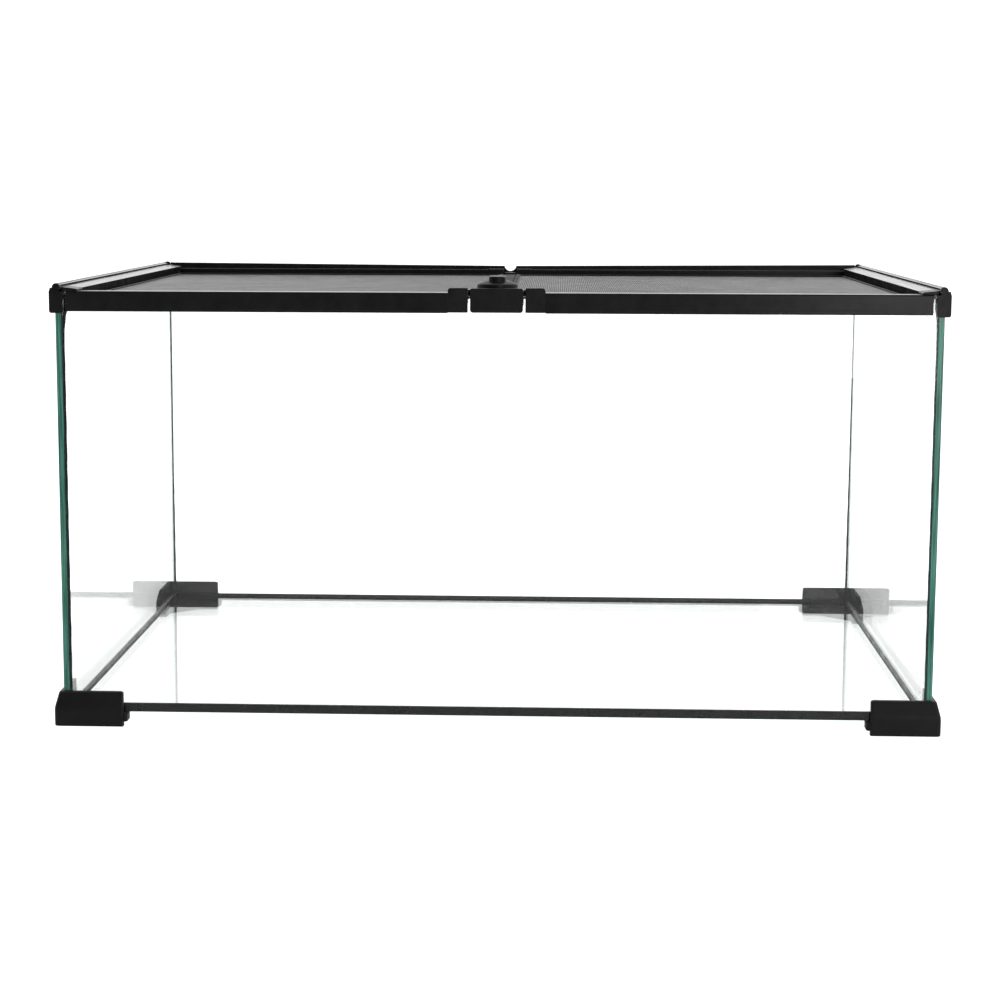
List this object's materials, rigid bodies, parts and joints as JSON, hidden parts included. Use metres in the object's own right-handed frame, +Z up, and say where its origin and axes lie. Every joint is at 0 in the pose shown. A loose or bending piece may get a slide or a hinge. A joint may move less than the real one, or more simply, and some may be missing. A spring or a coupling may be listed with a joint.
{
  "type": "small animal glass tank",
  "caption": "Free-standing glass tank for small animals on corner feet, with two hinged mesh lids held by a central twist latch.",
  "frame": {"origin": "on the floor under the centre of the tank", "axes": "+X to the right seen from the latch side, +Y towards the back, +Z up"},
  "size_m": [0.605, 0.455, 0.3082],
  "materials": {
    "glass": "clear float glass with green cut edges",
    "silicone": "black silicone sealant, smooth satin bead",
    "foot_plastic": "black moulded plastic, fine matt grain",
    "corner_plastic": "black moulded plastic, satin",
    "latch_plastic": "black moulded plastic, satin",
    "rail_metal": "black powder-coated aluminium, satin",
    "hinge_extrusion": "black anodised aluminium extrusion, semi-gloss",
    "mesh_wire": "black coated woven wire mesh",
    "mesh_cord": "matt black rubber cord",
    "steel": "zinc-plated steel"
  },
  "bodies": {
    "tank": {"base_glass": "glass", "front_glass": "glass", "back_glass": "glass", "left_glass": "glass", "right_glass": "glass", "corner_seals": "silicone", "base_seal": "silicone", "foot_front_left": "foot_plastic", "foot_front_right": "foot_plastic", "foot_back_left": "foot_plastic", "foot_back_right": "foot_plastic", "left_side_rail": "hinge_extrusion", "right_side_rail": "hinge_extrusion", "left_cap_front": "corner_plastic", "left_cap_back": "corner_plastic", "right_cap_front": "corner_plastic", "right_cap_back": "corner_plastic", "back_trim": "rail_metal", "centre_bar": "rail_metal", "bar_bracket": "corner_plastic", "latch_housing": "latch_plastic", "latch_cover": "latch_plastic", "cover_screws": "steel"},
    "left_lid": {"left_hinge_rail": "hinge_extrusion", "left_front_rail": "rail_metal", "left_back_rail": "rail_metal", "left_edge_rail": "rail_metal", "left_outer_corner_front": "corner_plastic", "left_outer_corner_back": "corner_plastic", "left_inner_corner_front": "corner_plastic", "left_inner_corner_back": "corner_plastic", "left_mesh": "mesh_wire", "left_mesh_cord": "mesh_cord"},
    "right_lid": {"right_hinge_rail": "hinge_extrusion", "right_front_rail": "rail_metal", "right_back_rail": "rail_metal", "right_edge_rail": "rail_metal", "right_outer_corner_front": "corner_plastic", "right_outer_corner_back": "corner_plastic", "right_inner_corner_front": "corner_plastic", "right_inner_corner_back": "corner_plastic", "right_mesh": "mesh_wire", "right_mesh_cord": "mesh_cord"},
    "latch": {"latch_knob": "latch_plastic", "latch_cam": "steel", "knob_screw": "steel"},
    "left_bolt": {"left_bolt": "steel"},
    "right_bolt": {"right_bolt": "steel"}
  },
  "joints": [
    {"name": "left_lid_hinge", "type": "hinge", "parent": "tank", "child": "left_lid", "pos_m": [-0.295, 0, 0.3002], "axis": [0, -1, 0], "range_deg": [0, 110]},
    {"name": "right_lid_hinge", "type": "hinge", "parent": "tank", "child": "right_lid", "pos_m": [0.295, 0, 0.3002], "axis": [0, 1, 0], "range_deg": [0, 110]},
    {"name": "latch_turn", "type": "hinge", "parent": "tank", "child": "latch", "pos_m": [0, -0.203, 0.3], "axis": [0, 0, 1], "range_deg": [0, 90]},
    {"name": "left_bolt_slide", "type": "slide", "parent": "tank", "child": "left_bolt", "axis": [-1, 0, 0], "range_m": [0, 0.0045]},
    {"name": "right_bolt_slide", "type": "slide", "parent": "tank", "child": "right_bolt", "axis": [1, 0, 0], "range_m": [0, 0.0045]}
  ],
  "couplings": [
    {"joint": "left_bolt_slide", "follows": "latch_turn", "m_per_rad": 0.0028647},
    {"joint": "right_bolt_slide", "follows": "latch_turn", "m_per_rad": 0.0028647}
  ]
}
